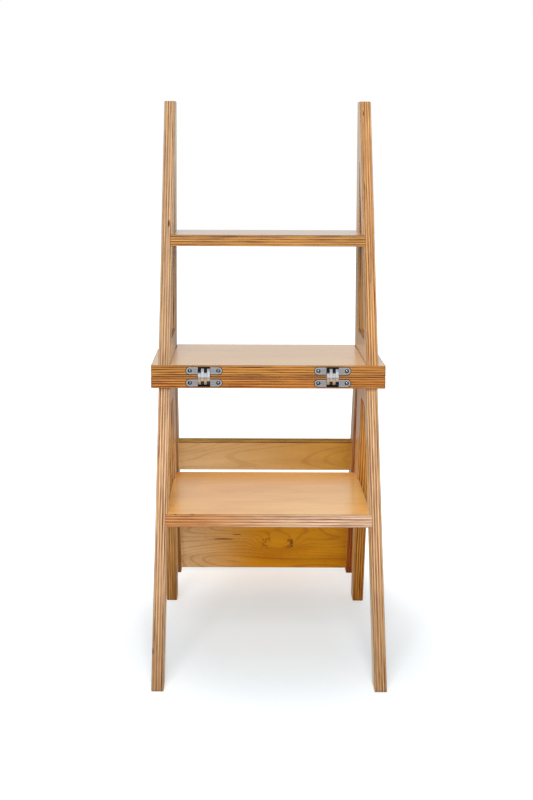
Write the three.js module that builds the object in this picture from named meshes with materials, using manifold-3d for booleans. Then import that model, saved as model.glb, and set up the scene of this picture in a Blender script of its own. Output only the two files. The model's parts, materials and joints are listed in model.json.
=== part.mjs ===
// Folding step stool chair of birch plywood, standing in its ladder form.
// Millimetres, +Z up, +Y to the back. The front half stands still and the rear half turns
// half a turn about the hinge axis, over the front, to make a chair.
// Pieces are drawn about the hinge axis: y = 0 is the hinge plane and z = 0 the seat level.
import * as THREE from 'three';
import { mergeVertices } from 'three/addons/utils/BufferGeometryUtils.js';
import Module from 'manifold-3d';

const wasm = await Module();
wasm.setup();

// The whole object
const seatHeight = 450; // hinge axis above the floor, and half the height of the ladder
const frameSpan = 356; // over the outer faces of the side panels

// Plywood
const plyThickness = 18.5;
const slatThickness = 15;
const arris = 1; // round on the long edges of every sawn piece
const footRound = 2.5; // round on the corners of the feet
const innerRadius = 8; // router radius in the corners of the cut-outs
const apexRadius = 1.5; // round in the sharp top corner of the upper window

// Seat boards
const boardOverhang = 12; // past the outer face of each side panel
const boardCorner = 3; // round on the corners seen from above
const seatGap = 0.7; // between the two boards when they lie face to face
const boardSetback = 0.25; // front edge of a board behind the hinge plane
const rearOverhang = 8; // lower board past the top of the lower panel

// Side panels of the front half: an upside-down V, open to the floor
const lowerLegSetback = 8; // top of the front edge behind the hinge plane
const lowerLegRun = 166; // the front edge comes forward by this from its top to the floor
const lowerStileWidth = 34;
const lowerBandHeight = 33;
const rearFootReach = 224; // heel of the rear foot behind the hinge plane
const rearFootWidth = 34;
const shoulderDepth = 63; // rear corner of the leg gap ahead of the panel's upper rear corner

// Side panels of the rear half: a leg with a window above the seat, a back post below it
const upperLegSetback = 3.5; // foot of the front edge behind the hinge plane
const upperLegRun = 155; // the front edge goes back by this from the seat to its top
const legTipWidth = 41.5; // top end of a leg, which is a foot of the chair
const upperStileWidth = 30.5;
const rearStileWidth = 46;
const upperBandHeight = 35;
const postWidth = 48;
const postFootWidth = 45;
const postRun = 173; // the back posts run back by this between the seat and the floor
const postBendRadius = 60;
const postClearance = 4.5; // between the lower board and the back posts behind it
const notchClearance = 0.5; // round a post in the notch of the upper board

// Steps
const stepDistance = 206; // from the seat level to the near face of each step
const dadoDepth = 3;
const stepFit = 0.15; // round the end of a step in its groove
const stepCorner = 12; // round on the rear corners
const lowerStepInset = 11; // rear edge ahead of the rear edge of the leg
const upperStepInset = 2;

// Back slats
const upperSlatWidth = 61;
const upperSlatDrop = 168; // upper edge below the seat level
const lowerSlatWidth = 120;
const lowerSlatLift = 8; // lower edge above the floor

// Concealed link hinges
const hingeInset = 86; // middle of a hinge from the end of the seat boards
const leafOffset = 10; // middle of a leaf from the seat level
const plateLength = 60;
const plateHeight = 13.5;
const plateThickness = 3;
const housingWidth = 24;
const housingDepth = 20; // back of the housing behind the hinge plane
const pocketWidth = 20;
const pocketHeight = 11.4;
const pocketDepth = 18.5;
const leafFit = 0.2; // round a leaf in its board
const hingeScrewPitch = 46;
const linkThickness = 4.5;
const linkGap = 0.35; // between neighbouring links
const linkHalfWidth = 1.3;
const linkBend = 2;
const pivotRadius = 0.8;
const pivotSeat = 1.2; // pivot pin into each side wall of its pocket
const pivotFit = 0.3;

// Points along the middle of a link, from its own pivot to its sliding end: distance behind
// the hinge plane, and distance past the seat level towards the other leaf
const linkPivot = [3.06, -5.91];
const linkElbow = [-2.05, -6.09];
const linkKnuckle = [-3.44, 0];
const linkNeck = [-0.43, 7.62];
const linkTip = [3, 12.13];

// Fasteners: head radius, rim, head height, shank radius, length, length of the point
const hingeScrew = { head: 3.3, rim: 0.3, headHeight: 1.8, shank: 1.7, length: 16, point: 3 };
const panelScrew = { head: 5, rim: 0.6, headHeight: 3.4, shank: 3.4, length: 50, point: 4 };
const dowelRadius = 4;
const dowelChamfer = 1;
const dowelInBoard = 11;
const dowelInPanel = 18;
const dowelEdge = 26; // a dowel from the nearer end of its joint
const upperSlatScrewPitch = 34;
const lowerSlatScrewPitch = 76;
const screwFit = 0.15; // round a fastener in its hole
const holeEnd = 0.5; // past the end of a fastener

const overrun = 5; // by which every cut passes the faces that it opens
const weld = 0.0001; // points closer than this are one point
const arcSteps = 4;
const arrisSteps = 2;
const roundSides = 16;
const pinSides = 12;

// Lines and levels that several pieces share
const floorLevel = -seatHeight;
const boardNear = seatGap / 2;
const boardFar = boardNear + plyThickness;
const legHeight = seatHeight - boardFar;
const lowerFront = (z) => lowerLegSetback + (lowerLegRun * (z + boardFar)) / legHeight;
const upperFront = (z) => upperLegSetback + (upperLegRun * (z - boardFar)) / legHeight;
const boardHalf = frameSpan / 2 + boardOverhang;
const hingeSpread = boardHalf - hingeInset;
const upperBoardDepth = upperFront(seatHeight) + legTipWidth;
const panelOuter = frameSpan / 2;
const panelInner = panelOuter - plyThickness;
const panelMiddle = panelOuter - plyThickness / 2;
const stepMiddle = stepDistance + plyThickness / 2;
const edgeThrough = (a, b) => (z) => a[0] + ((b[0] - a[0]) * (z - a[1])) / (b[1] - a[1]);

const postTopFront = [upperBoardDepth - postWidth, boardFar];
const postTopRear = [upperBoardDepth, boardFar];
const postToeFront = [postTopFront[0] + postRun, floorLevel];
const postToeRear = [postToeFront[0] + postFootWidth, floorLevel];
const postFrontEdge = edgeThrough(postTopFront, postToeFront);
const postRearEdge = edgeThrough(postTopRear, postToeRear);
const postAngle = Math.atan2(postRun, boardFar + seatHeight);

const lowerBoardRear = postFrontEdge(-boardNear) - postClearance;
const legTopRear = [lowerBoardRear - rearOverhang, -boardFar];
const heel = [rearFootReach, floorLevel];
const legToe = [rearFootReach - rearFootWidth, floorLevel];
const gapTop = -boardFar - lowerBandHeight;
const gapTopRear = [legTopRear[0] - shoulderDepth, gapTop];
const legRearEdge = edgeThrough(legTopRear, heel);
const legFrontEdge = edgeThrough(gapTopRear, legToe);

const lowerStepRear = legRearEdge(-stepMiddle) - lowerStepInset;
const upperStepRear = upperBoardDepth - upperStepInset;

// Solids from geometries, and back
function solidOf(geometry) {
  const bare = geometry.clone();
  bare.deleteAttribute('normal');
  bare.deleteAttribute('uv');
  const merged = mergeVertices(bare, weld);
  const index = merged.index.array;
  const corners = [];
  for (let i = 0; i < index.length; i += 3) {
    const [a, b, c] = [index[i], index[i + 1], index[i + 2]];
    if (a !== b && b !== c && c !== a) corners.push(a, b, c);
  }
  return new wasm.Manifold(new wasm.Mesh({
    numProp: 3,
    vertProperties: new Float32Array(merged.attributes.position.array),
    triVerts: new Uint32Array(corners),
  }));
}

function geometryOf(solid) {
  const mesh = solid.getMesh();
  const geometry = new THREE.BufferGeometry();
  geometry.setAttribute('position', new THREE.BufferAttribute(mesh.vertProperties, 3));
  geometry.setIndex(new THREE.BufferAttribute(mesh.triVerts, 1));
  geometry.computeVertexNormals();
  return geometry;
}

// An outline through corners [u, v, radius], with an arc in each corner that has a radius
function outline(corners) {
  const points = [];
  corners.forEach(([u, v, radius], i) => {
    const corner = new THREE.Vector2(u, v);
    if (!radius) {
      points.push(corner);
      return;
    }
    const [pu, pv] = corners.at(i - 1);
    const [nu, nv] = corners[(i + 1) % corners.length];
    const back = new THREE.Vector2(pu, pv).sub(corner).normalize();
    const ahead = new THREE.Vector2(nu, nv).sub(corner).normalize();
    const half = Math.acos(back.dot(ahead)) / 2;
    const bisector = back.clone().add(ahead).normalize();
    const centre = corner.clone().addScaledVector(bisector, radius / Math.sin(half));
    const start = corner.clone().addScaledVector(back, radius / Math.tan(half)).sub(centre);
    const sweep = Math.sign(back.cross(ahead)) * -(Math.PI - 2 * half);
    for (let k = 0; k <= arcSteps; k += 1) {
      const spoke = start.clone().rotateAround(new THREE.Vector2(), (sweep * k) / arcSteps);
      points.push(spoke.add(centre));
    }
  });
  return points;
}

// A plate of the given outline, with rounded arrises, its thickness centred on zero
function plate(shape, thickness, edgeRound) {
  const geometry = new THREE.ExtrudeGeometry(shape, {
    depth: thickness - 2 * edgeRound,
    bevelEnabled: edgeRound > 0,
    bevelThickness: edgeRound,
    bevelSize: edgeRound,
    bevelOffset: -edgeRound,
    bevelSegments: arrisSteps,
  });
  return geometry.translate(0, 0, edgeRound - thickness / 2);
}

// Outlines drawn in (y, z) run along X, those in (x, z) along Y and those in (x, y) along Z
const alongX = new THREE.Matrix4().makeBasis(
  new THREE.Vector3(0, 1, 0), new THREE.Vector3(0, 0, 1), new THREE.Vector3(1, 0, 0));
const alongY = new THREE.Matrix4().makeBasis(
  new THREE.Vector3(1, 0, 0), new THREE.Vector3(0, 0, 1), new THREE.Vector3(0, -1, 0));

function box(low, high) {
  const size = high.map((value, i) => value - low[i]);
  const middle = high.map((value, i) => (value + low[i]) / 2);
  return solidOf(new THREE.BoxGeometry(...size).translate(...middle));
}

// A turned piece, head first along its direction from the place of its head
function turned(profile, place, direction, sides) {
  const points = profile.map(([radius, along]) => new THREE.Vector2(radius, along));
  const geometry = new THREE.LatheGeometry(points, sides);
  const turn = new THREE.Quaternion().setFromUnitVectors(new THREE.Vector3(0, 1, 0), direction);
  return solidOf(geometry.applyQuaternion(turn).translate(...place));
}

function screw(size, place, direction) {
  return turned([
    [0, 0],
    [size.head, 0],
    [size.head, size.rim],
    [size.shank, size.headHeight],
    [size.shank, size.length - size.point],
    [0, size.length],
  ], place, direction, pinSides);
}

function screwHole(size, place, direction) {
  const head = size.head + screwFit;
  const shank = size.shank + screwFit;
  return turned([
    [0, -overrun],
    [head, -overrun],
    [head, size.rim],
    [shank, size.headHeight],
    [shank, size.length + holeEnd],
    [0, size.length + holeEnd],
  ], place, direction, pinSides);
}

const towards = { left: -1, right: 1 };
const rightward = new THREE.Vector3(1, 0, 0);
const backward = new THREE.Vector3(0, 1, 0);
const upward = new THREE.Vector3(0, 0, 1);

// Places of the fasteners, each [y, z] on the outer face of a side panel
function acrossSlat(slat, pitch) {
  return [-1, 1].map((side) => [
    slat.middle[0] - (side * pitch * Math.sin(postAngle)) / 2,
    slat.middle[1] + (side * pitch * Math.cos(postAngle)) / 2,
  ]);
}

function slatBetween(low, high) {
  const centre = (low + high) / 2;
  return { middle: [(postFrontEdge(centre) + postRearEdge(centre)) / 2, centre] };
}

const upperSlat = slatBetween(
  -upperSlatDrop - upperSlatWidth * Math.cos(postAngle), -upperSlatDrop);
const lowerSlat = slatBetween(
  floorLevel + lowerSlatLift, floorLevel + lowerSlatLift + lowerSlatWidth * Math.cos(postAngle));

const lowerScrewPlaces = {
  front: [lowerFront(-stepMiddle) + lowerStileWidth / 2, -stepMiddle],
  rear: [(legFrontEdge(-stepMiddle) + legRearEdge(-stepMiddle)) / 2, -stepMiddle],
};
const upperScrewPlaces = {
  front: [upperFront(stepMiddle) + upperStileWidth / 2, stepMiddle],
  rear: [upperBoardDepth - rearStileWidth / 2, stepMiddle],
};
const slatScrewPlaces = {
  upper_slat_lower: acrossSlat(upperSlat, upperSlatScrewPitch)[0],
  upper_slat_upper: acrossSlat(upperSlat, upperSlatScrewPitch)[1],
  lower_slat_lower: acrossSlat(lowerSlat, lowerSlatScrewPitch)[0],
  lower_slat_upper: acrossSlat(lowerSlat, lowerSlatScrewPitch)[1],
};
const lowerDowelPlaces = {
  front: lowerFront(-boardFar) + dowelEdge,
  rear: legTopRear[0] - dowelEdge,
};
const upperDowelPlaces = {
  front: upperFront(boardFar) + dowelEdge,
  rear: postTopFront[0] - dowelEdge,
};

function panelScrewSolid(make, side, [y, z]) {
  const place = [towards[side] * panelOuter, y, z];
  return make(panelScrew, place, rightward.clone().multiplyScalar(-towards[side]));
}

// A dowel runs from inside the board, level = -1 for the lower half and 1 for the upper
function dowel(side, level, y, fit) {
  const radius = dowelRadius + fit;
  const length = dowelInBoard + dowelInPanel + 2 * fit;
  const start = level * (boardFar - dowelInBoard - fit);
  const ends = fit ? 0 : dowelChamfer;
  return turned([
    [0, 0],
    [radius - ends, 0],
    [radius, ends],
    [radius, length - ends],
    [radius - ends, length],
    [0, length],
  ], [towards[side] * panelMiddle, y, start], upward.clone().multiplyScalar(level), roundSides);
}

// Side panels
function sidePanel(shape, side) {
  const geometry = plate(shape, plyThickness, arris).applyMatrix4(alongX);
  return solidOf(geometry.translate(towards[side] * panelMiddle, 0, 0));
}

function stepGroove(side, front, rear, low, high) {
  const inner = towards[side] * (panelInner - overrun);
  const outer = towards[side] * (panelInner + dadoDepth + stepFit);
  return box(
    [Math.min(inner, outer), front, low - stepFit],
    [Math.max(inner, outer), rear + stepFit, high + stepFit]);
}

function lowerSide(side) {
  const shape = new THREE.Shape(outline([
    [lowerFront(floorLevel), floorLevel, footRound],
    [lowerFront(floorLevel) + lowerStileWidth, floorLevel, footRound],
    [lowerFront(gapTop) + lowerStileWidth, gapTop, innerRadius],
    [...gapTopRear, innerRadius],
    [...legToe, footRound],
    [...heel, footRound],
    [...legTopRear],
    [lowerFront(-boardFar), -boardFar],
  ]));
  let solid = sidePanel(shape, side).subtract(stepGroove(
    side, lowerFront(-stepDistance - plyThickness) - overrun, lowerStepRear,
    -stepDistance - plyThickness, -stepDistance));
  for (const place of Object.values(lowerScrewPlaces)) {
    solid = solid.subtract(panelScrewSolid(screwHole, side, place));
  }
  for (const y of Object.values(lowerDowelPlaces)) {
    solid = solid.subtract(dowel(side, -1, y, screwFit));
  }
  return solid;
}

function upperSide(side) {
  const windowBottom = boardFar + upperBandHeight;
  const windowRear = upperBoardDepth - rearStileWidth;
  const windowRise = (windowRear - upperStileWidth - upperLegSetback) / upperLegRun;
  const windowTop = boardFar + windowRise * legHeight;
  const shape = new THREE.Shape(outline([
    [upperFront(boardFar), boardFar],
    [...postTopFront],
    [...postToeFront, footRound],
    [...postToeRear, footRound],
    [...postTopRear, postBendRadius],
    [upperBoardDepth, seatHeight, footRound],
    [upperFront(seatHeight), seatHeight, footRound],
  ]));
  shape.holes.push(new THREE.Path(outline([
    [upperFront(windowBottom) + upperStileWidth, windowBottom, innerRadius],
    [windowRear, windowTop, apexRadius],
    [windowRear, windowBottom, innerRadius],
  ])));
  let solid = sidePanel(shape, side).subtract(stepGroove(
    side, upperFront(stepDistance) - overrun, upperStepRear,
    stepDistance, stepDistance + plyThickness));
  const places = [...Object.values(upperScrewPlaces), ...Object.values(slatScrewPlaces)];
  for (const place of places) {
    solid = solid.subtract(panelScrewSolid(screwHole, side, place));
  }
  for (const y of Object.values(upperDowelPlaces)) {
    solid = solid.subtract(dowel(side, 1, y, screwFit));
  }
  return solid;
}

// Steps: a board with rounded rear corners, its front planed to the slope of the frame
function step(frontLine, rear, low, screwPlaces) {
  const high = low + plyThickness;
  const front = frontLine(low) - overrun;
  const half = panelInner + dadoDepth;
  const shape = new THREE.Shape(outline([
    [-half, front],
    [half, front],
    [half, rear, stepCorner],
    [-half, rear, stepCorner],
  ]));
  const board = solidOf(plate(shape, plyThickness, arris).translate(0, 0, (low + high) / 2));
  const waste = new THREE.Shape(outline([
    [frontLine(low - overrun), low - overrun],
    [frontLine(high + overrun), high + overrun],
    [front - overrun, high + overrun],
    [front - overrun, low - overrun],
  ]));
  const plane = plate(waste, 2 * (half + overrun), 0).applyMatrix4(alongX);
  let solid = board.subtract(solidOf(plane));
  for (const side of Object.keys(towards)) {
    for (const place of Object.values(screwPlaces)) {
      solid = solid.subtract(panelScrewSolid(screwHole, side, place));
    }
  }
  return solid;
}

// Back slats, in the line of the posts
function slat({ middle }, width, screwPlaces) {
  const [halfWidth, halfThickness] = [width / 2, slatThickness / 2];
  const shape = new THREE.Shape(outline([
    [-halfThickness, -halfWidth, arris],
    [halfThickness, -halfWidth, arris],
    [halfThickness, halfWidth, arris],
    [-halfThickness, halfWidth, arris],
  ]));
  const geometry = plate(shape, 2 * panelInner, 0).rotateZ(postAngle).applyMatrix4(alongX);
  let solid = solidOf(geometry.translate(0, ...middle));
  for (const side of Object.keys(towards)) {
    for (const place of screwPlaces) {
      solid = solid.subtract(panelScrewSolid(screwHole, side, place));
    }
  }
  return solid;
}

// Seat boards, mortised in their front edges for the hinge leaves
function seatBoard(shape, level, dowelPlaces) {
  const middle = level * (boardNear + plyThickness / 2);
  let solid = solidOf(plate(shape, plyThickness, arris).translate(0, 0, middle));
  for (const side of Object.keys(towards)) {
    solid = solid.subtract(leafMortise(side, level));
    for (const screwSide of Object.keys(towards)) {
      solid = solid.subtract(hingeScrewSolid(screwHole, side, level, screwSide));
    }
    for (const y of Object.values(dowelPlaces)) {
      solid = solid.subtract(dowel(side, level, y, screwFit));
    }
  }
  return solid;
}

function lowerBoard() {
  const shape = new THREE.Shape(outline([
    [-boardHalf, boardSetback, boardCorner],
    [boardHalf, boardSetback, boardCorner],
    [boardHalf, lowerBoardRear, boardCorner],
    [-boardHalf, lowerBoardRear, boardCorner],
  ]));
  return seatBoard(shape, -1, lowerDowelPlaces);
}

function upperBoard() {
  const inner = panelInner - notchClearance;
  const notch = postTopFront[0] - notchClearance;
  const shape = new THREE.Shape(outline([
    [-boardHalf, boardSetback, boardCorner],
    [boardHalf, boardSetback, boardCorner],
    [boardHalf, notch, boardCorner],
    [inner, notch],
    [inner, upperBoardDepth, boardCorner],
    [-inner, upperBoardDepth, boardCorner],
    [-inner, notch],
    [-boardHalf, notch, boardCorner],
  ]));
  return seatBoard(shape, 1, upperDowelPlaces);
}

// Hinge leaves: a round-ended plate with a housing behind it, open to the front
function roundEnded(length, height) {
  const [halfLength, halfHeight] = [length / 2, height / 2];
  const points = [];
  for (let k = 0; k <= roundSides; k += 1) {
    const angle = -Math.PI / 2 + (Math.PI * k) / roundSides;
    points.push([halfLength - halfHeight + halfHeight * Math.cos(angle), halfHeight * Math.sin(angle)]);
  }
  return new THREE.Shape([...points, ...points.map(([u, v]) => [-u, -v])]
    .map(([u, v]) => new THREE.Vector2(u, v)));
}

function leafBlock(side, level, fit, front) {
  const centre = [towards[side] * hingeSpread, level * leafOffset];
  const halfHeight = plateHeight / 2 + fit;
  const halfHousing = housingWidth / 2 + fit;
  const depth = plateThickness + fit + boardSetback - front;
  const face = plate(roundEnded(plateLength + 2 * fit, 2 * halfHeight), depth, 0)
    .applyMatrix4(alongY).translate(centre[0], front + depth / 2, centre[1]);
  const housing = box(
    [centre[0] - halfHousing, front, centre[1] - halfHeight],
    [centre[0] + halfHousing, housingDepth + fit, centre[1] + halfHeight]);
  return solidOf(face).add(housing);
}

function leafMortise(side, level) {
  return leafBlock(side, level, leafFit, -overrun);
}

function hingeScrewSolid(make, side, level, screwSide) {
  const x = towards[side] * hingeSpread + (towards[screwSide] * hingeScrewPitch) / 2;
  return make(hingeScrew, [x, boardSetback, level * leafOffset], backward);
}

function pivotPin(centre, level, radius, seat) {
  const length = pocketWidth + 2 * seat;
  const place = [centre - length / 2, linkPivot[0], level * -linkPivot[1]];
  return turned([[0, 0], [radius, 0], [radius, length], [0, length]],
    place, rightward, pinSides);
}

function hingeLeaf(side, level) {
  const centre = towards[side] * hingeSpread;
  const halfPocket = pocketHeight / 2;
  const pocket = box(
    [centre - pocketWidth / 2, -overrun, level * leafOffset - halfPocket],
    [centre + pocketWidth / 2, pocketDepth, level * leafOffset + halfPocket]);
  let solid = leafBlock(side, level, 0, boardSetback).subtract(pocket);
  solid = solid.subtract(pivotPin(centre, level, pivotRadius + pivotFit, pivotSeat + pivotFit));
  for (const screwSide of Object.keys(towards)) {
    solid = solid.subtract(hingeScrewSolid(screwHole, side, level, screwSide));
  }
  return solid;
}

// Links: a bent bar of even width with round ends, drawn along the middle of its path
function linkShape(level) {
  const middle = outline([
    [...linkPivot],
    [...linkElbow, linkBend],
    [...linkKnuckle, linkBend],
    [...linkNeck, linkBend],
    [...linkTip],
  ]).map((point) => new THREE.Vector2(point.x, -level * point.y));
  const across = middle.map((point, i) => {
    const before = middle[Math.max(i - 1, 0)];
    const after = middle[Math.min(i + 1, middle.length - 1)];
    const along = after.clone().sub(before).normalize();
    return new THREE.Vector2(along.y, -along.x).multiplyScalar(linkHalfWidth);
  });
  const last = middle.length - 1;
  const end = (point, spoke) => Array.from({ length: 2 * arcSteps - 1 }, (_, k) => spoke.clone()
    .rotateAround(new THREE.Vector2(), (Math.PI * (k + 1)) / (2 * arcSteps)).add(point));
  return new THREE.Shape([
    ...middle.map((point, i) => point.clone().add(across[i])),
    ...end(middle[last], across[last]),
    ...middle.map((point, i) => point.clone().sub(across[i])).reverse(),
    ...end(middle[0], across[0].clone().negate()),
  ]);
}

// Each hinge has four links side by side: the second and fourth turn in the lower leaf and
// the first and third in the upper one, each pair fast on its own pivot pin. Their places
// are given in widths of a link from the middle of the hinge.
const linkPlaceShares = { '-1': [-0.5, 1.5], 1: [-1.5, 0.5] };

function linkPair(side, level) {
  const centre = towards[side] * hingeSpread;
  let solid = pivotPin(centre, level, pivotRadius, pivotSeat);
  for (const share of linkPlaceShares[level]) {
    const bar = plate(linkShape(level), linkThickness, 0).applyMatrix4(alongX);
    const x = centre + share * (linkThickness + linkGap);
    solid = solid.add(solidOf(bar.translate(x, 0, 0)));
  }
  return solid;
}

// Finishes
const veneer = { color: 0xdcb888, roughness: 0.5, metalness: 0 };
const panelPly = { color: 0xd2a878, roughness: 0.55, metalness: 0 };
const slatVeneer = { color: 0xcfa468, roughness: 0.5, metalness: 0 };
const zinc = { color: 0xa9abad, roughness: 0.38, metalness: 1 };
const brightZinc = { color: 0xc6c8ca, roughness: 0.3, metalness: 1 };
const steel = { color: 0x8f9194, roughness: 0.35, metalness: 1 };
const beech = { color: 0xd0ad84, roughness: 0.7, metalness: 0 };

function addPiece(group, name, solid, finish) {
  const mesh = new THREE.Mesh(geometryOf(solid), new THREE.MeshStandardMaterial(finish));
  mesh.name = name;
  group.add(mesh);
}

// What both halves have: a seat board, a step, and their hinge leaves and dowels
function addHalf(group, half, level, dowelPlaces) {
  for (const side of Object.keys(towards)) {
    addPiece(group, `${side}_${half}_hinge_leaf`, hingeLeaf(side, level), zinc);
    for (const screwSide of Object.keys(towards)) {
      const solid = hingeScrewSolid(screw, side, level, screwSide);
      addPiece(group, `${side}_${half}_hinge_screw_${screwSide}`, solid, steel);
    }
    for (const [end, y] of Object.entries(dowelPlaces)) {
      addPiece(group, `${side}_${half}_dowel_${end}`, dowel(side, level, y, 0), beech);
    }
  }
}

function addPanelScrews(group, prefix, places) {
  for (const side of Object.keys(towards)) {
    for (const [end, place] of Object.entries(places)) {
      addPiece(group, `${prefix}_${side}_${end}`, panelScrewSolid(screw, side, place), steel);
    }
  }
}

const frontHalf = new THREE.Group();
addPiece(frontHalf, 'lower_seat_board', lowerBoard(), veneer);
addPiece(frontHalf, 'lower_left_side', lowerSide('left'), panelPly);
addPiece(frontHalf, 'lower_right_side', lowerSide('right'), panelPly);
addPiece(frontHalf, 'lower_step',
  step(lowerFront, lowerStepRear, -stepDistance - plyThickness, lowerScrewPlaces), veneer);
addHalf(frontHalf, 'lower', -1, lowerDowelPlaces);
addPanelScrews(frontHalf, 'lower_step_screw', lowerScrewPlaces);

const rearHalf = new THREE.Group();
addPiece(rearHalf, 'upper_seat_board', upperBoard(), veneer);
addPiece(rearHalf, 'upper_left_side', upperSide('left'), panelPly);
addPiece(rearHalf, 'upper_right_side', upperSide('right'), panelPly);
addPiece(rearHalf, 'upper_step',
  step(upperFront, upperStepRear, stepDistance, upperScrewPlaces), veneer);
addPiece(rearHalf, 'upper_back_slat',
  slat(upperSlat, upperSlatWidth, acrossSlat(upperSlat, upperSlatScrewPitch)), slatVeneer);
addPiece(rearHalf, 'lower_back_slat',
  slat(lowerSlat, lowerSlatWidth, acrossSlat(lowerSlat, lowerSlatScrewPitch)), slatVeneer);
addHalf(rearHalf, 'upper', 1, upperDowelPlaces);
addPanelScrews(rearHalf, 'upper_step_screw', upperScrewPlaces);
addPanelScrews(rearHalf, 'slat_screw', slatScrewPlaces);

const links = new THREE.Group();
for (const side of Object.keys(towards)) {
  addPiece(links, `${side}_lower_links`, linkPair(side, -1), brightZinc);
  addPiece(links, `${side}_upper_links`, linkPair(side, 1), brightZinc);
}

// The origin is on the floor, under the middle of the whole
const chair = new THREE.Group();
chair.add(frontHalf, rearHalf, links);
const bounds = new THREE.Box3().setFromObject(chair);
chair.position.set(0, -(bounds.min.y + bounds.max.y) / 2, seatHeight);

export default chair;
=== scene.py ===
"""Looks of a folding step stool chair of lacquered birch plywood, in its ladder form."""

import json
import math

import bpy
import numpy as np
from mathutils import Matrix, Vector


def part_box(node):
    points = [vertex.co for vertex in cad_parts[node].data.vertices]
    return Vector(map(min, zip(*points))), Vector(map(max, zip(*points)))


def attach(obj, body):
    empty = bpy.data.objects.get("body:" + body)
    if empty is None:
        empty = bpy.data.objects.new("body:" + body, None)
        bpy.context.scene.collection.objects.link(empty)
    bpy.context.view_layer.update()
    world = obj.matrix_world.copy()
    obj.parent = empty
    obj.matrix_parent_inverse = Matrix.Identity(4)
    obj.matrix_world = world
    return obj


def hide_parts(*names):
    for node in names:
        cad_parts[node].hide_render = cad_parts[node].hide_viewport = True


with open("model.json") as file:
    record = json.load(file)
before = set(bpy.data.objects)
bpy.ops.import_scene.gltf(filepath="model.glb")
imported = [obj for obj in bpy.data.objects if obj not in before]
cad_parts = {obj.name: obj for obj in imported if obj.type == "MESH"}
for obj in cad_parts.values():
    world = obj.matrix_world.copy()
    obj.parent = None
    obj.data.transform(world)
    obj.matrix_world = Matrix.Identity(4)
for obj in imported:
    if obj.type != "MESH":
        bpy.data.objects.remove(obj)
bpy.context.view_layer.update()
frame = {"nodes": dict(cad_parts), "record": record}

MM = 0.001

# Nine plies in 18.5 mm of sheet, and the glue lines between them. Real glue lines are
# thinner and are drawn thicker here so that they show.
PLY = 2.056 * MM
GLUE_LINE = 0.35 * MM
SHEET_HALF = 9.25 * MM
SLAT_HALF = 7.5 * MM

# The back posts run back by this much over this drop
POST_RUN = 173 * MM
POST_DROP = 469.2 * MM
POST_LEAN = math.atan2(POST_RUN, POST_DROP)

# A hinge leaf: half the length of its straight middle, between its round ends
LEAF_STRAIGHT = 23.25 * MM

# Screws: radii of the two kinds of head, and one turn of the thread
HINGE_SCREW_HEAD = 3.2 * MM
PANEL_SCREW_HEAD = 4.85 * MM
THREAD_TURN = 1.6 * MM
SCREW_POINT = 4 * MM

ACROSS = Vector((1, 0, 0))
BACK = Vector((0, 1, 0))
UP = Vector((0, 0, 1))
SLAT_NORMAL = Vector((0, math.cos(POST_LEAN), math.sin(POST_LEAN)))


def linear(code):
    """The linear RGBA colour of an sRGB hex value such as "d2a878"."""
    srgb = np.array([int(code[i:i + 2], 16) for i in (0, 2, 4)]) / 255
    value = np.where(srgb <= 0.04045, srgb / 12.92, ((srgb + 0.055) / 1.055) ** 2.4)
    return (*value.tolist(), 1.0)


def live_output(node):
    """The first output of a node that its settings leave in use."""
    return next(output for output in node.outputs if output.enabled)


def add(tree, kind, sockets=None, **settings):
    """Adds a node with its settings, and with a value, a socket or a node on each named
    input. A node stands for its live output."""
    made = tree.nodes.new(kind)
    for name, value in settings.items():
        setattr(made, name, value)
    for name, value in (sockets or {}).items():
        if isinstance(value, bpy.types.Node):
            value = live_output(value)
        if isinstance(value, bpy.types.NodeSocket):
            tree.links.new(value, made.inputs[name])
        else:
            made.inputs[name].default_value = value
    return made


def new_material(name):
    """An empty node material, with its tree and its output node."""
    material = bpy.data.materials.new(name)
    material.use_nodes = True
    tree = material.node_tree
    tree.nodes.clear()
    return material, tree, tree.nodes.new("ShaderNodeOutputMaterial")


def colour_input(tree):
    """The colour input of the principled shader in a tree."""
    shader = next(node for node in tree.nodes if node.type == "BSDF_PRINCIPLED")
    return shader.inputs["Base Color"]


def middle_of(node):
    """The middle of a CAD node's box."""
    low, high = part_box(node)
    return (Vector(low) + Vector(high)) / 2


def sheet_axes(tree, node, normal, grain):
    """Distances in metres from the middle of a sheet: through it, along its grain and
    across its grain, with the position itself."""
    place = add(tree, "ShaderNodeTexCoord").outputs["Object"]
    local = add(tree, "ShaderNodeVectorMath", {0: place, 1: middle_of(node)},
                operation="SUBTRACT")
    axes = [add(tree, "ShaderNodeVectorMath", {0: local, 1: axis}, operation="DOT_PRODUCT")
            for axis in (normal, grain, normal.cross(grain))]
    return place, axes


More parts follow.
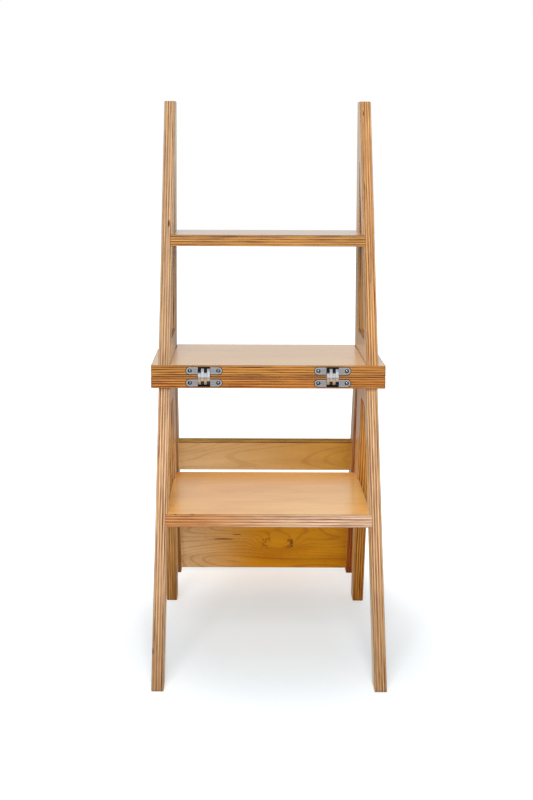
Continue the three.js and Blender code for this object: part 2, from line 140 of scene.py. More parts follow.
def ply_edge(tree, axes, light, dark, seed):
    """Colour and height of a sawn edge: a stack of plies, long grain and end grain in turn,
    so that every other one is dark. Each has its own tone that changes slowly along it, with
    thin streaks in the grain, end-grain specks, dark glue lines and a few open voids. The
    specks stand for pores of about a tenth of a millimetre and are drawn 0.6 mm long, so
    that they show."""
    through, along, beside = axes
    layer = add(tree, "ShaderNodeMath", {0: through, 1: 1 / PLY}, operation="MULTIPLY")
    number = add(tree, "ShaderNodeMath", {0: layer}, operation="ROUND")
    turned = add(tree, "ShaderNodeMath", {0: number, 1: 2.0}, operation="FLOORED_MODULO")
    inside = add(tree, "ShaderNodeMath", {
        0: add(tree, "ShaderNodeMath", {0: layer, 1: number}, operation="SUBTRACT")},
        operation="ABSOLUTE")
    glue = add(tree, "ShaderNodeMapRange", {
        "Value": inside, "From Min": 0.5 - GLUE_LINE / PLY, "From Max": 0.5})
    # What each noise follows through the sheet and how far apart it puts its steps, then its
    # length along them in millimetres and its detail
    grains, hues = [], []
    for across, spread, long, detail in ((number, 7.7, 90, 3.0), (through, 1500, 55, 2.0),
                                         (through, 2200, 0.6, 1.0)):
        stretched = add(tree, "ShaderNodeCombineXYZ", {
            "X": add(tree, "ShaderNodeMath", {0: across, 1: spread}, operation="MULTIPLY"),
            "Y": add(tree, "ShaderNodeMath", {0: along, 1: 1000 / long},
                     operation="MULTIPLY"),
            "Z": add(tree, "ShaderNodeMath", {0: beside, 1: 1000 / long},
                     operation="MULTIPLY")})
        grain = add(tree, "ShaderNodeTexNoise", {
            "Vector": stretched, "W": seed, "Scale": 1.0, "Detail": detail,
            "Roughness": 0.6}, noise_dimensions="4D")
        grains.append(add(tree, "ShaderNodeMapRange", {
            "Value": grain, "From Min": 0.35, "From Max": 0.65}))
        hues.append(grain.outputs["Color"])
    ply, streak, speck = grains
    tone = add(tree, "ShaderNodeMath", {0: turned, 1: 0.42}, operation="MULTIPLY")
    for part, share in ((ply, 0.42), (streak, 0.4), (speck, 0.1)):
        tone = add(tree, "ShaderNodeMath", {0: part, 1: share, 2: tone},
                   operation="MULTIPLY_ADD")
    tone = add(tree, "ShaderNodeMapRange", {"Value": tone, "From Min": 0.2, "From Max": 1.15})
    wood = add(tree, "ShaderNodeMix", {
        "Factor": tone, "A": linear(light), "B": linear(dark)}, data_type="RGBA")
    wood = add(tree, "ShaderNodeMix", {"Factor": 0.14, "A": wood, "B": hues[0]},
               data_type="RGBA", blend_type="SOFT_LIGHT")
    void = add(tree, "ShaderNodeMapRange", {
        "Value": add(tree, "ShaderNodeMath", {0: ply, 1: streak}, operation="MULTIPLY"),
        "From Min": 0.8, "From Max": 0.96, "To Max": 0.85})
    line = add(tree, "ShaderNodeMath", {
        0: add(tree, "ShaderNodeMath", {0: glue, 1: 0.5}, operation="MULTIPLY"), 1: void},
        operation="MAXIMUM")
    wood = add(tree, "ShaderNodeMix", {
        "Factor": line, "A": wood, "B": linear("4a280e")}, data_type="RGBA")
    return wood, tone


def veneer(tree, axes, light, dark, figure, seed, knots=()):
    """Colour and height of a rotary-cut face: the level lines of a stretched noise, soft
    clouds and flecks along the grain, drawn 8 mm long and 1 mm wide, which is coarser than
    real ones, so that they show. A knot, given by its place along and across the sheet and
    its half width, is twice as long as it is wide. It lifts the noise so that the lines run
    round it, and is pale with a ragged dark outline at its ends."""
    _, along, beside = axes
    flat = add(tree, "ShaderNodeCombineXYZ", {"X": along, "Y": beside})
    drawn = add(tree, "ShaderNodeVectorMath", {0: flat, 1: (2.6, 13.0, 0)},
                operation="MULTIPLY")
    rise = add(tree, "ShaderNodeTexNoise", {
        "Vector": drawn, "W": seed + 1.3, "Scale": 1.0, "Detail": 1.2, "Roughness": 0.35,
        "Distortion": 0.3}, noise_dimensions="4D")
    hue = rise.outputs["Color"]
    ragged = add(tree, "ShaderNodeTexNoise", {"Vector": flat, "Scale": 140.0, "Detail": 2.0})
    outlines = insides = 0.0
    for place_along, place_beside, radius in knots:
        off = add(tree, "ShaderNodeVectorMath", {
            0: add(tree, "ShaderNodeVectorMath", {
                0: flat, 1: (place_along, place_beside, 0)}, operation="SUBTRACT"),
            1: (0.5, 1.0, 0.0)}, operation="MULTIPLY")
        away = add(tree, "ShaderNodeVectorMath", {0: off}, operation="LENGTH")
        end = add(tree, "ShaderNodeMath", {
            0: add(tree, "ShaderNodeSeparateXYZ", {0: off})}, operation="ABSOLUTE")
        end = add(tree, "ShaderNodeMapRange", {
            "Value": end, "From Min": 0.4 * radius, "From Max": 0.9 * radius, "To Max": 0.75})
        lift = add(tree, "ShaderNodeMapRange", {
            "Value": away, "From Min": 0.0, "From Max": 2.4 * radius, "To Min": 0.2,
            "To Max": 0.0}, interpolation_type="SMOOTHSTEP")
        rise = add(tree, "ShaderNodeMath", {0: rise, 1: lift}, operation="ADD")
        rough_away = add(tree, "ShaderNodeMath", {0: ragged, 1: 1.2 * radius, 2: away},
                         operation="MULTIPLY_ADD")
        ring = add(tree, "ShaderNodeMath", {
            0: add(tree, "ShaderNodeMath", {0: rough_away, 1: 1.55 * radius},
                   operation="SUBTRACT")}, operation="ABSOLUTE")
        ring = add(tree, "ShaderNodeMapRange", {
            "Value": ring, "From Min": 0.4 * MM, "From Max": 1.5 * MM, "To Min": 1.0,
            "To Max": 0.0})
        ring = add(tree, "ShaderNodeMath", {0: ring, 1: end}, operation="MULTIPLY")
        outlines = add(tree, "ShaderNodeMath", {0: ring, 1: outlines}, operation="MAXIMUM")
        pale = add(tree, "ShaderNodeMapRange", {
            "Value": rough_away, "From Min": 1.1 * radius, "From Max": 1.5 * radius,
            "To Min": 0.55, "To Max": 0.0}, interpolation_type="SMOOTHSTEP")
        insides = add(tree, "ShaderNodeMath", {0: pale, 1: insides}, operation="MAXIMUM")
    contour = add(tree, "ShaderNodeMath", {
        0: add(tree, "ShaderNodeMath", {0: rise, 1: 130.0}, operation="MULTIPLY")},
        operation="SINE")
    contour = add(tree, "ShaderNodeMapRange", {
        "Value": contour, "From Min": 0.5, "From Max": 1.0},
        interpolation_type="SMOOTHSTEP")
    cloud = add(tree, "ShaderNodeTexNoise", {
        "Vector": drawn, "W": seed + 5.1, "Scale": 2.2, "Detail": 4.0, "Distortion": 0.6},
        noise_dimensions="4D")
    cloud = add(tree, "ShaderNodeMapRange", {
        "Value": cloud, "From Min": 0.35, "From Max": 0.68})
    short = add(tree, "ShaderNodeVectorMath", {0: flat, 1: (130.0, 1100.0, 0)},
                operation="MULTIPLY")
    fleck = add(tree, "ShaderNodeTexNoise", {
        "Vector": short, "Scale": 1.0, "Detail": 2.0}, noise_dimensions="2D")
    fleck = add(tree, "ShaderNodeMapRange", {
        "Value": fleck, "From Min": 0.45, "From Max": 0.8})
    shade = add(tree, "ShaderNodeMath", {0: contour, 1: 0.5 * figure}, operation="MULTIPLY")
    shade = add(tree, "ShaderNodeMath", {0: cloud, 1: 0.45, 2: shade},
                operation="MULTIPLY_ADD")
    shade = add(tree, "ShaderNodeMath", {0: fleck, 1: 0.25, 2: shade},
                operation="MULTIPLY_ADD", use_clamp=True)
    wood = add(tree, "ShaderNodeMix", {
        "Factor": shade, "A": linear(light), "B": linear(dark)}, data_type="RGBA")
    wood = add(tree, "ShaderNodeMix", {
        "Factor": 0.1, "A": wood, "B": hue}, data_type="RGBA", blend_type="SOFT_LIGHT")
    if knots:
        wood = add(tree, "ShaderNodeMix", {
            "Factor": insides, "A": wood, "B": linear(light)}, data_type="RGBA")
        wood = add(tree, "ShaderNodeMix", {
            "Factor": outlines, "A": wood, "B": linear("5c3004")}, data_type="RGBA")
    return wood, fleck


def tinted(tree, wood, place, shade_tints, share=1.0):
    """Wood that takes on each tint, (direction, start, end, colour), from start to end, on
    the given share of the surface. The tints are painted shade, along with one that darkens
    the feet towards the floor."""
    for direction, start, end, colour in shade_tints:
        reach = add(tree, "ShaderNodeVectorMath", {0: place, 1: direction},
                    operation="DOT_PRODUCT")
        reach = add(tree, "ShaderNodeMapRange", {
            "Value": reach, "From Min": start, "From Max": end},
            interpolation_type="SMOOTHSTEP")
        reach = add(tree, "ShaderNodeMath", {0: reach, 1: share}, operation="MULTIPLY")
        wood = add(tree, "ShaderNodeMix", {
            "Factor": reach, "A": wood, "B": linear(colour)}, data_type="RGBA",
            blend_type="MULTIPLY")
    return wood


def plywood(name, node, normal, grain, face, edge, figure, seed, coat=1.0, front_shade_tints=(),
            face_shade_tints=(), edge_shade_tints=(), marks=(), knots=()):
    """Birch plywood under clear satin lacquer, veneer on its two faces and a stack of plies
    on its sawn edges. To the eye the faces are pale with a soft sheen, and the edges are
    striped and dull.

    normal is the direction through the sheet and grain that of the face veneer. face and
    edge are (light, dark) hex colours. figure is how strongly the veneer shows and coat how
    thick the lacquer lies on the faces. The front tints are painted shade on all that faces
    the front in the ladder form, the face tints painted shade on both faces, and the edge
    tints painted shade on the edges that face the front, along with a darkening towards the
    floor at the feet. marks are small dark voids, each a place and three half sizes in
    millimetres. knots are as veneer has them."""
    material, tree, output = new_material(name)
    place, axes = sheet_axes(tree, node, normal, grain)
    half = SLAT_HALF if "slat" in node else SHEET_HALF
    edge_wood, edge_height = ply_edge(tree, axes, *edge, seed)
    face_wood, face_height = veneer(tree, axes, *face, figure, seed, knots)
    normal_here = add(tree, "ShaderNodeTexCoord").outputs["Normal"]
    front = add(tree, "ShaderNodeVectorMath", {0: normal_here, 1: -BACK},
                operation="DOT_PRODUCT")
    front = add(tree, "ShaderNodeMapRange", {"Value": front, "From Min": 0.1, "From Max": 0.5})
    # Painted shade on the edges that face the front and on both faces; at the feet the edge tints
    # also darken towards the floor
    edge_wood = tinted(tree, edge_wood, place, edge_shade_tints, front)
    face_wood = tinted(tree, face_wood, place, face_shade_tints)

    # A surface square to the sheet's normal is veneer and any other a sawn edge, whose two
    # outer plies are darkened along the arris as painted shade
    turned = add(tree, "ShaderNodeVectorMath", {0: normal_here, 1: normal},
                 operation="DOT_PRODUCT")
    facing = add(tree, "ShaderNodeMath", {0: turned}, operation="ABSOLUTE")
    is_face = add(tree, "ShaderNodeMath", {0: facing, 1: 0.98}, operation="GREATER_THAN")
    wood = add(tree, "ShaderNodeMix", {
        "Factor": is_face, "A": edge_wood, "B": face_wood}, data_type="RGBA")
    outer = add(tree, "ShaderNodeMapRange", {
        "Value": add(tree, "ShaderNodeMath", {0: axes[0]}, operation="ABSOLUTE"),
        "From Min": half - 1.2 * MM, "From Max": half - 0.5 * MM, "To Max": 0.7})
    arris_shade = add(tree, "ShaderNodeMath", {
        0: outer, 1: add(tree, "ShaderNodeMath", {0: 1.0, 1: is_face}, operation="SUBTRACT")},
        operation="MULTIPLY")
    wood = add(tree, "ShaderNodeMix", {
        "Factor": arris_shade, "A": wood, "B": linear("4c2c14")}, data_type="RGBA")
    # Painted shade on all that faces the front in the ladder form
    wood = tinted(tree, wood, place, front_shade_tints, front)
    for spot, sizes in marks:
        off = add(tree, "ShaderNodeVectorMath", {0: place, 1: Vector(spot) * MM},
                  operation="SUBTRACT")
        off = add(tree, "ShaderNodeVectorMath", {
            0: off, 1: Vector([1 / (size * MM) for size in sizes])}, operation="MULTIPLY")
        off = add(tree, "ShaderNodeVectorMath", {0: off}, operation="LENGTH")
        hole = add(tree, "ShaderNodeMapRange", {
            "Value": off, "From Min": 0.5, "From Max": 1.2, "To Min": 0.92, "To Max": 0.0},
            interpolation_type="SMOOTHSTEP")
        wood = add(tree, "ShaderNodeMix", {
            "Factor": hole, "A": wood, "B": linear("240a02")}, data_type="RGBA")
    height = add(tree, "ShaderNodeMix", {
        "Factor": is_face, "A": edge_height, "B": face_height})
    bump = add(tree, "ShaderNodeBump", {
        "Strength": 0.2, "Distance": 0.15 * MM, "Height": height})
    rough = add(tree, "ShaderNodeMapRange", {
        "Value": is_face, "To Min": 0.6, "To Max": 0.38})
    shader = add(tree, "ShaderNodeBsdfPrincipled", {
        "Base Color": wood, "Roughness": rough, "Normal": bump, "IOR": 1.5,
        "Specular IOR Level": 0.25,
        "Coat Weight": add(tree, "ShaderNodeMath", {0: is_face, 1: coat},
                           operation="MULTIPLY"),
        "Coat Roughness": 0.2, "Coat IOR": 1.6})
    tree.links.new(shader.outputs[0], output.inputs["Surface"])
    return material


def zinc(name, light, dark, roughness):
    """Zinc plate on cast or turned metal: a satin grey with a faint grain, which gives soft
    wide highlights instead of clear reflections."""
    material, tree, output = new_material(name)
    place = add(tree, "ShaderNodeTexCoord").outputs["Object"]
    grain = add(tree, "ShaderNodeTexNoise", {"Vector": place, "Scale": 700.0, "Detail": 3.0})
    colour = add(tree, "ShaderNodeMix", {
        "Factor": grain, "A": linear(light), "B": linear(dark)}, data_type="RGBA")
    rough = add(tree, "ShaderNodeMapRange", {
        "Value": grain, "To Min": roughness - 0.08, "To Max": roughness + 0.08})
    bump = add(tree, "ShaderNodeBump", {
        "Strength": 0.15, "Distance": 0.05 * MM, "Height": grain})
    shader = add(tree, "ShaderNodeBsdfPrincipled", {
        "Base Color": colour, "Metallic": 1.0, "Roughness": rough, "Normal": bump})
    tree.links.new(shader.outputs[0], output.inputs["Surface"])
    return material


def dress(node, material):
    """Gives a CAD node that keeps its shape a finished material."""
    slots = frame["nodes"][node].data.materials
    slots.clear()
    slots.append(material)


# Hex colours, light and dark, of one birch plywood, set piece by piece. They are partly
# each sheet's own tone and partly painted light: pieces that lie in shade, such as the
# lower step and the lower slat, are given paler colours, and the upper step, which gets
# more light, a darker one.
STEP_VENEER = ("fdc56b", "e3a14b")
SEAT_VENEER = ("e5b46f", "d19e5a")
SLAT_VENEER = ("edc185", "c19258")
UPPER_STEP_VENEER = ("bc996e", "aa8254")
LOWER_SLAT_VENEER = ("ffd8a2", "be7c3e")
PANEL_VENEER = ("f4d19e", "deb37c")
LEFT_EDGE = ("d8ae80", "663f22")
RIGHT_EDGE = ("dead7a", "60371a")
LOWER_LEFT_EDGE = ("f4b686", "663417")
LOWER_RIGHT_EDGE = ("ffb683", "6c2c10")
UPPER_RIGHT_EDGE = ("e0a76a", "62350e")
BOARD_EDGE = ("d6903c", "441a04")
LOWER_BOARD_EDGE = ("d28634", "441805")
UPPER_STEP_EDGE = ("cf9348", "4d2306")
SLAT_EDGE = ("eec462", "68360f")
LOWER_STEP_EDGE = ("e6c19e", "7d5235")


def dress_plywood():
    """Every plywood piece: its sheet normal, grain, colours, figure, seed and marks."""
    # Painted shade on the edges: the lower legs and the upper posts turn darker and warmer towards
    # the back, most on the right, and the stiles' fronts lose some red, the right one more. The
    # foot tint darkens the lower edges and makes them more golden over the lowest 0.2 m.
    foot = (UP, 0.2, 0.0, "d7d0bf")
    stile_shade = {"left": (BACK, 0.06, -0.12, "efffff"), "right": (BACK, 0.06, -0.12, "e4ffff")}
    leg_shade = {"left": (BACK, -0.12, 0.06, "fffbc0"), "right": (BACK, -0.12, 0.06, "fff27c")}
    post_shade = {"left": (BACK, 0.06, 0.16, "ebc06e"), "right": (BACK, 0.06, 0.16, "ffb250")}
    plywood_of = {
        "lower_seat_board": (UP, ACROSS, SEAT_VENEER, LOWER_BOARD_EDGE, 0.3, 2.0, {}),
        "upper_seat_board": (UP, ACROSS, SEAT_VENEER, BOARD_EDGE, 0.3, 3.0, {
            "marks": [((96, 29, 469), (4, 1.2, 1))]}),
        "lower_step": (UP, ACROSS, STEP_VENEER, LOWER_STEP_EDGE, 0.3, 4.0, {
            # Painted shade on the lower step: its top darkens towards the back, under the seat, and
            # its top and front edge turn darker and more golden towards the left.
            "face_shade_tints": [(BACK, -0.1, 0.1, "fffaf2"), (ACROSS, 0.1, -0.14, "f9f1cd")],
            "edge_shade_tints": [(ACROSS, 0.1, -0.14, "e7be80")],
            "marks": [((-147, -170, 243.6), (3, 2, 0.8)), ((-120, -170, 243.6), (5, 2, 0.6))]}),
        "upper_step": (UP, ACROSS, UPPER_STEP_VENEER, UPPER_STEP_EDGE, 0.3, 5.0, {
            "marks": [((102, -29, 673), (26, 2, 0.7))]}),
        # Painted shade and painted warm bounce light on the slats' front: they turn darker and more
        # golden towards the right, the lower slat strongly from its middle on.
        "upper_back_slat": (SLAT_NORMAL, ACROSS, SLAT_VENEER, SLAT_EDGE, 0.5, 6.0, {
            "coat": 0.2, "front_shade_tints": [(ACROSS, -0.16, 0.16, "e8cc74")]}),
        "lower_back_slat": (SLAT_NORMAL, ACROSS, LOWER_SLAT_VENEER, SLAT_EDGE, 0.55, 7.0, {
            "coat": 0.1, "front_shade_tints": [(ACROSS, -0.17, 0.0, "f4c724")],
            "marks": [((-77, 207, 71), (22, 14, 1.4)), ((-52, 203, 81), (10, 14, 0.8))],
            "knots": [(0.026, 0.0, 0.014)]}),
        "lower_left_side": (ACROSS, UP, PANEL_VENEER, LOWER_LEFT_EDGE, 0.4, 8.0, {
            "coat": 0.3, "edge_shade_tints": [stile_shade["left"], leg_shade["left"], foot],
            "marks": [((-180, -244, 54), (5, 9, 6))]}),
        "lower_right_side": (ACROSS, UP, PANEL_VENEER, LOWER_RIGHT_EDGE, 0.4, 9.0, {
            "coat": 0.3, "edge_shade_tints": [stile_shade["right"], leg_shade["right"], foot]}),
        "upper_left_side": (ACROSS, UP, PANEL_VENEER, LEFT_EDGE, 0.4, 10.0, {
            "coat": 0.3, "edge_shade_tints": [post_shade["left"]], "marks": [((-166, -22, 693), (2.0, 8, 7))]}),
        "upper_right_side": (ACROSS, UP, PANEL_VENEER, UPPER_RIGHT_EDGE, 0.4, 11.0, {
            "coat": 0.3, "edge_shade_tints": [post_shade["right"]],
            "marks": [((165, 45, 879), (1.0, 12, 6)), ((163, 0, 755), (0.9, 14, 10))]}),
    }
    for node, (normal, grain, face, edge, figure, seed, extra) in plywood_of.items():
        dress(node, plywood(f"birch_plywood_{node}", node, normal, grain, face, edge,
                            figure, seed, **extra))


def leaf_metal(node):
    """The satin zinc of one hinge leaf, a flat grey plate to the eye, with round ends. Near
    its edge, where the casting rolls off into the mortise, it goes from a slightly paler rim,
    a painted highlight, to a dark line 1 mm wide, a painted shadow of the gap, which is drawn
    wider than the real gap so that it shows. What lies behind the front, in the pocket,
    darkens over 1.4 mm as painted shade."""
    material = zinc(f"zinc_plated_{node}", "999596", "706e6f", 0.38)
    tree = material.node_tree
    colour = colour_input(tree).links[0].from_socket
    local = add(tree, "ShaderNodeVectorMath", {
        0: add(tree, "ShaderNodeTexCoord").outputs["Object"], 1: middle_of(node)},
        operation="SUBTRACT")
    # Distance from the plate's straight middle line, where the 1 m leaves the depth out
    apart = add(tree, "ShaderNodeVectorMath", {0: local}, operation="ABSOLUTE")
    apart = add(tree, "ShaderNodeVectorMath", {
        0: add(tree, "ShaderNodeVectorMath", {0: apart, 1: (LEAF_STRAIGHT, 1, 0)},
               operation="SUBTRACT"), 1: (0, 0, 0)}, operation="MAXIMUM")
    out = add(tree, "ShaderNodeVectorMath", {0: apart}, operation="LENGTH").outputs["Value"]
    # Painted highlight on the rim, then painted shadow of the gap round the plate
    rim = add(tree, "ShaderNodeMapRange", {
        "Value": out, "From Min": 4.5 * MM, "From Max": 5.0 * MM, "To Max": 0.35})
    outline = add(tree, "ShaderNodeMapRange", {
        "Value": out, "From Min": 5.3 * MM, "From Max": 5.7 * MM, "To Max": 0.92})
    colour = add(tree, "ShaderNodeMix", {
        "Factor": rim, "A": colour, "B": linear("d4d6d9")}, data_type="RGBA")
    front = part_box(node)[0][1]
    # Painted shade in the pocket behind the front, joined to the painted shadow of the gap
    deep = add(tree, "ShaderNodeMapRange", {
        "Value": add(tree, "ShaderNodeSeparateXYZ", {
            0: add(tree, "ShaderNodeTexCoord").outputs["Object"]}).outputs["Y"],
        "From Min": front + 0.6 * MM, "From Max": front + 2.0 * MM, "To Max": 0.88})
    outline = add(tree, "ShaderNodeMath", {0: outline, 1: deep}, operation="MAXIMUM")
    colour = add(tree, "ShaderNodeMix", {
        "Factor": outline, "A": colour, "B": linear("161414")}, data_type="RGBA")
    tree.links.new(live_output(colour), colour_input(tree))
    return material


def link_metal():
    """The brighter zinc of the links, which stand out pale before the dark pockets. From the
    seat level down they turn warmer, a painted reflection of the wood round them."""
    material = zinc("bright_zinc_link", "a2a3a6", "7a7b7e", 0.6)
    tree = material.node_tree
    colour = colour_input(tree).links[0].from_socket
    height = add(tree, "ShaderNodeSeparateXYZ", {
        0: add(tree, "ShaderNodeTexCoord").outputs["Object"]}).outputs["Z"]
    # Painted reflection of the wood, warmer from the seat level down
    painted_wood_reflection = add(tree, "ShaderNodeMapRange", {
        "Value": height, "From Min": 450.5 * MM, "From Max": 446 * MM})
    colour = add(tree, "ShaderNodeMix", {
        "Factor": painted_wood_reflection, "A": colour, "B": linear("d1bea5")}, data_type="RGBA")
    tree.links.new(live_output(colour), colour_input(tree))
    return material


def dress_metal():
    """Hinge leaves and links, with their sharp edges broken so that they catch the light."""
    link = link_metal()
    for node, piece in frame["nodes"].items():
        if "leaf" in node or "links" in node:
            dress(node, leaf_metal(node) if "leaf" in node else link)
            piece.modifiers.new("merged_corners", "WELD").merge_threshold = 0.001 * MM
            edge = piece.modifiers.new("broken_edge", "BEVEL")
            edge.width = 0.3 * MM
            edge.segments = 2
            edge.limit_method = "ANGLE"
            edge.angle_limit = math.radians(40)


def screw_surface(name, node, material, head, recess_at, relief):
    """A countersunk wood screw in place of a CAD one, as rings of points round its axis.

    The head is a disc whose depth at each point is the recess plus the relief at that
    radius. Round it come a rounded rim, a cone that ends at 0.62 of the head's radius below
    the top, and a shank of half the head's radius. The shank sinks to 0.84 of that between
    the ridges of the thread, once in each turn, and shrinks over its last stretch to a
    point. The attribute for painted shade is 1 where the head lies 0.9 mm deep or more, and 0
    on the rim and the shank."""
    low, high = (Vector(corner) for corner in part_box(node))
    size = high - low
    axis = max(range(3), key=lambda i: size[i])
    outward = Vector((0, 0, 0))
    outward[axis] = -1 if axis == 1 else math.copysign(1, low[axis] + high[axis])
    length = size[axis]
    top = np.array((low + high) / 2 + outward * length / 2)
    side = np.array(UP)
    other = np.cross(np.array(outward), side)

    around = 96
    angle = np.linspace(0, 2 * math.pi, around, endpoint=False)[None, :]
    share = np.linspace(0.02, 0.95, 44)[:, None]
    radius = np.repeat(head * share, around, axis=1)
    recess = recess_at(radius * np.cos(angle), radius * np.sin(angle))
    depth = recess + relief(radius)
    # Painted shade in the recesses, full from 0.9 mm deep
    recess_shade = np.clip(depth / (0.9 * MM), 0, 1)
    rim = np.array([[0.98, 0.24], [1.0, 0.36], [0.985, 0.5]])
    cone = head * 0.62
    down = np.linspace(cone, length * 0.985, 120)[:, None]
    turn = (down / THREAD_TURN - angle / (2 * math.pi)) % 1
    thread = 0.84 + 0.16 * np.clip(1 - 4 * np.abs(turn - 0.5), 0, 1)
    shank = head * 0.5 * np.clip((length - down) / SCREW_POINT, 0, 1) * thread
    flat = np.ones((1, around))
    radius = np.vstack([radius, head * rim[:, :1] * flat, shank])
    depth = np.vstack([depth, rim[:, 1:] * MM * flat, down * flat])
    recess_shade = np.vstack([recess_shade, 0 * rim[:, :1] * flat, 0 * down * flat])

    ring = (radius * np.cos(angle))[..., None] * side + (radius * np.sin(angle))[..., None] * other
    points = top + ring - depth[..., None] * np.array(outward)
    middle = top - depth[0, 0] * np.array(outward)
    tip = top - length * np.array(outward)
    rings = radius.shape[0]
    points = np.vstack([points.reshape(-1, 3), middle, tip])
    recess_shade = np.append(recess_shade.reshape(-1), [recess_shade[0, 0], 0])
    number = np.arange(rings * around).reshape(rings, around)
    ahead = np.roll(number, -1, axis=1)
    quads = np.stack([number[:-1], ahead[:-1], ahead[1:], number[1:]], axis=-1)
    cap = np.stack([np.full(around, rings * around), ahead[0], number[0]], axis=-1)
    end = np.stack([np.full(around, rings * around + 1), number[-1], ahead[-1]], axis=-1)
    faces = quads.reshape(-1, 4).tolist() + cap.tolist() + end.tolist()

    mesh = bpy.data.meshes.new(name)
    mesh.from_pydata(points.tolist(), [], faces)
    mesh.polygons.foreach_set("use_smooth", np.ones(len(faces), dtype=bool))
    mesh.attributes.new("recess_shade", "FLOAT", "POINT").data.foreach_set("value", recess_shade)
    mesh.materials.append(material)
    piece = bpy.data.objects.new(name, mesh)
    bpy.context.scene.collection.objects.link(piece)
    return piece


def cross_recess(x, y):
    """Depth of a small cross recess: the larger of two arms 0.7 mm deep, each 1.4 by 0.5 mm
    at its floor and 2.4 by 0.9 mm at its mouth."""
    arms = [np.clip((0.45 * MM - np.abs(b)) / (0.2 * MM), 0, 1)
            * np.clip((1.2 * MM - np.abs(a)) / (0.5 * MM), 0, 1) for a, b in ((x, y), (y, x))]
    return 0.7 * MM * np.maximum(*arms)


def hexagon_recess(x, y):
    """Depth of a hexagonal socket: 2.4 mm inside six sides, with walls that fall between
    2.1 and 1.9 mm from the middle."""
    reach = np.max([np.abs(x * np.cos(a) + y * np.sin(a)) for a in np.radians([0, 60, 120])],
                   axis=0)
    return 2.4 * MM * np.clip((2.1 * MM - reach) / (0.2 * MM), 0, 1)


def raised_middle(radius):
    """Relief of a raised screw head in its deep countersink: a dome that falls by 0.25 mm
    out to 1.7 mm, then a groove 1.45 mm deep whose outer wall climbs back between 2.7 and
    3.05 mm."""
    dome = 0.25 * MM * (radius / (1.7 * MM)) ** 2
    groove = np.minimum(np.clip((radius - 1.7 * MM) / (0.3 * MM), 0, 1),
                        np.clip((3.05 * MM - radius) / (0.35 * MM), 0, 1))
    return np.where(radius < 1.7 * MM, dome, 0.15 * MM + 1.3 * MM * groove)


def flat_head(radius):
    """Relief of a flat head, which falls by 0.15 mm from its middle to its rim."""
    return 0.15 * MM * (radius / PANEL_SCREW_HEAD) ** 2


def screw_metal():
    """Zinc-plated steel, satin, with painted shade, near black, where the mesh's attribute for
    painted shade is high, so that a recess reads as a dark hole."""
    material = zinc("zinc_plated_screw", "b6b8bb", "888a8e", 0.26)
    tree = material.node_tree
    colour = colour_input(tree).links[0].from_socket
    recess_shade = add(tree, "ShaderNodeAttribute", attribute_name="recess_shade").outputs["Fac"]
    colour = add(tree, "ShaderNodeMix", {
        "Factor": recess_shade, "A": colour, "B": linear("121214")}, data_type="RGBA")
    tree.links.new(live_output(colour), colour_input(tree))
    return material


def make_screws():
    """The 24 screws, each riding with the body of the CAD screw that it stands for."""
    metal = screw_metal()
    for body, nodes in frame["record"]["behaviour"]["bodies"].items():
        for node in nodes:
            if "hinge_screw" in node:
                piece = screw_surface(f"cross_head_{node}", node, metal, HINGE_SCREW_HEAD,
                                      cross_recess, raised_middle)
            elif "screw" in node:
                piece = screw_surface(f"socket_head_{node}", node, metal, PANEL_SCREW_HEAD,
                                      hexagon_recess, flat_head)
            else:
                continue
            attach(piece, body)
            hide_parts(node)


def dress_dowels():
    """Bare beech dowels between the side panels and the boards: dull and pale pink-brown,
    with short dark flecks along the grain, which are drawn coarser than real ones."""
    material, tree, output = new_material("beech_dowel")
    place = add(tree, "ShaderNodeTexCoord").outputs["Object"]
    drawn = add(tree, "ShaderNodeVectorMath", {0: place, 1: (1800, 1800, 160)},
                operation="MULTIPLY")
    fleck = add(tree, "ShaderNodeTexNoise", {"Vector": drawn, "Scale": 1.0, "Detail": 2.0})
    fleck = add(tree, "ShaderNodeMapRange", {
        "Value": fleck, "From Min": 0.45, "From Max": 0.75})
    wood = add(tree, "ShaderNodeMix", {
        "Factor": fleck, "A": linear("d9b48c"), "B": linear("a87c54")}, data_type="RGBA")
    bump = add(tree, "ShaderNodeBump", {
        "Strength": 0.3, "Distance": 0.1 * MM, "Height": fleck})
    shader = add(tree, "ShaderNodeBsdfPrincipled", {
        "Base Color": wood, "Roughness": 0.7, "Normal": bump})
    tree.links.new(shader.outputs[0], output.inputs["Surface"])
    for node in frame["nodes"]:
        if "dowel" in node:
            dress(node, material)


def make_floor():
    """A plain pale floor that keeps the object's soft shadow. To the camera alone it also
    glows, by a quarter of white in the middle and up to plain white 0.58 m out, so that the
    shadow is as faint as in the photograph and fades into a white ground."""
    size = 9.0
    mesh = bpy.data.meshes.new("floor")
    corners = [(-size, -size, 0), (size, -size, 0), (size, size, 0), (-size, size, 0)]
    mesh.from_pydata(corners, [], [(0, 1, 2, 3)])
    floor = bpy.data.objects.new("floor", mesh)
    bpy.context.scene.collection.objects.link(floor)
    material, tree, output = new_material("white_paper_floor")
    seen = add(tree, "ShaderNodeLightPath").outputs["Is Camera Ray"]
    paper = add(tree, "ShaderNodeBsdfDiffuse", {"Color": linear("d1dae1")})
    away = add(tree, "ShaderNodeVectorMath", {
        0: add(tree, "ShaderNodeTexCoord").outputs["Object"], 1: (0.02, -0.09, 0)},
        operation="DISTANCE")
    far = add(tree, "ShaderNodeMapRange", {
        "Value": away, "From Min": 0.1, "From Max": 0.58, "To Min": 0.25, "To Max": 1.0},
        interpolation_type="SMOOTHSTEP")
    glow = add(tree, "ShaderNodeEmission", {
        "Strength": add(tree, "ShaderNodeMath", {0: seen, 1: far}, operation="MULTIPLY")})
    both = add(tree, "ShaderNodeAddShader", {0: paper, 1: glow})
    tree.links.new(both.outputs[0], output.inputs["Surface"])
    mesh.materials.append(material)


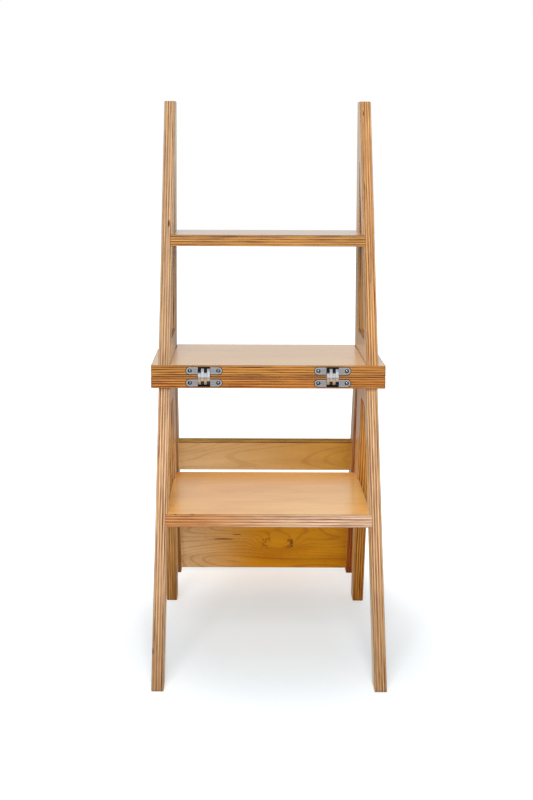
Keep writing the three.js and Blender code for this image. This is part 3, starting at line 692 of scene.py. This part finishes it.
def make_world():
    """Even surroundings: white to the eye, pale grey in reflections and a third of white as
    light."""
    world = bpy.data.worlds.new("studio")
    bpy.context.scene.world = world
    world.use_nodes = True
    tree = world.node_tree
    tree.nodes.clear()
    rays = add(tree, "ShaderNodeLightPath")
    strength = add(tree, "ShaderNodeMapRange", {
        "Value": rays.outputs["Is Glossy Ray"], "To Min": 0.32, "To Max": 0.8})
    strength = add(tree, "ShaderNodeMath", {
        0: strength, 1: rays.outputs["Is Camera Ray"]}, operation="MAXIMUM")
    sky = add(tree, "ShaderNodeBackground", {"Color": (1, 1, 1, 1), "Strength": strength})
    add(tree, "ShaderNodeOutputWorld", {"Surface": sky})


def add_softbox(name, place, target, size, power):
    """A square area light at place that faces target."""
    light = bpy.data.lights.new(name, "AREA")
    light.size = size
    light.energy = power
    lamp = bpy.data.objects.new(name, light)
    lamp.location = place
    lamp.rotation_euler = (Vector(target) - Vector(place)).to_track_quat("-Z", "Y").to_euler()
    bpy.context.scene.collection.objects.link(lamp)


def make_lights():
    """A softbox high in front, one behind and above the camera, and a weak one overhead."""
    add_softbox("key_light", (-0.4, -2.5, 2.35), (0, -0.1, 0.35), 1.6, 58)
    add_softbox("front_light", (0.1, -3.2, 1.28), (0, 0, 0.3), 1.0, 44)
    add_softbox("top_light", (0.0, 0.1, 3.0), (0, 0, 0), 2.0, 10)


def make_camera():
    """The photograph's view from the front, from 0.82 m up and 4.5 degrees down. The shift
    places the object in the frame as the photograph does."""
    camera = bpy.data.cameras.new("camera")
    camera.lens = 50.695
    camera.sensor_width = 36
    camera.shift_x = 0.0282
    camera.shift_y = -0.2023
    viewer = bpy.data.objects.new("camera", camera)
    pitch = math.radians(4.5)
    roll = math.radians(0.1794)
    turn = Matrix.Rotation(math.pi / 2 - pitch, 4, "X") @ Matrix.Rotation(roll, 4, "Z")
    viewer.matrix_world = Matrix.Translation((-0.0401, -1.9045, 0.8168)) @ turn
    bpy.context.scene.collection.objects.link(viewer)
    bpy.context.scene.camera = viewer


make_camera()
make_world()
make_lights()
make_floor()
dress_plywood()
dress_metal()
dress_dowels()
make_screws()

bpy.context.scene.view_settings.view_transform = "Standard"
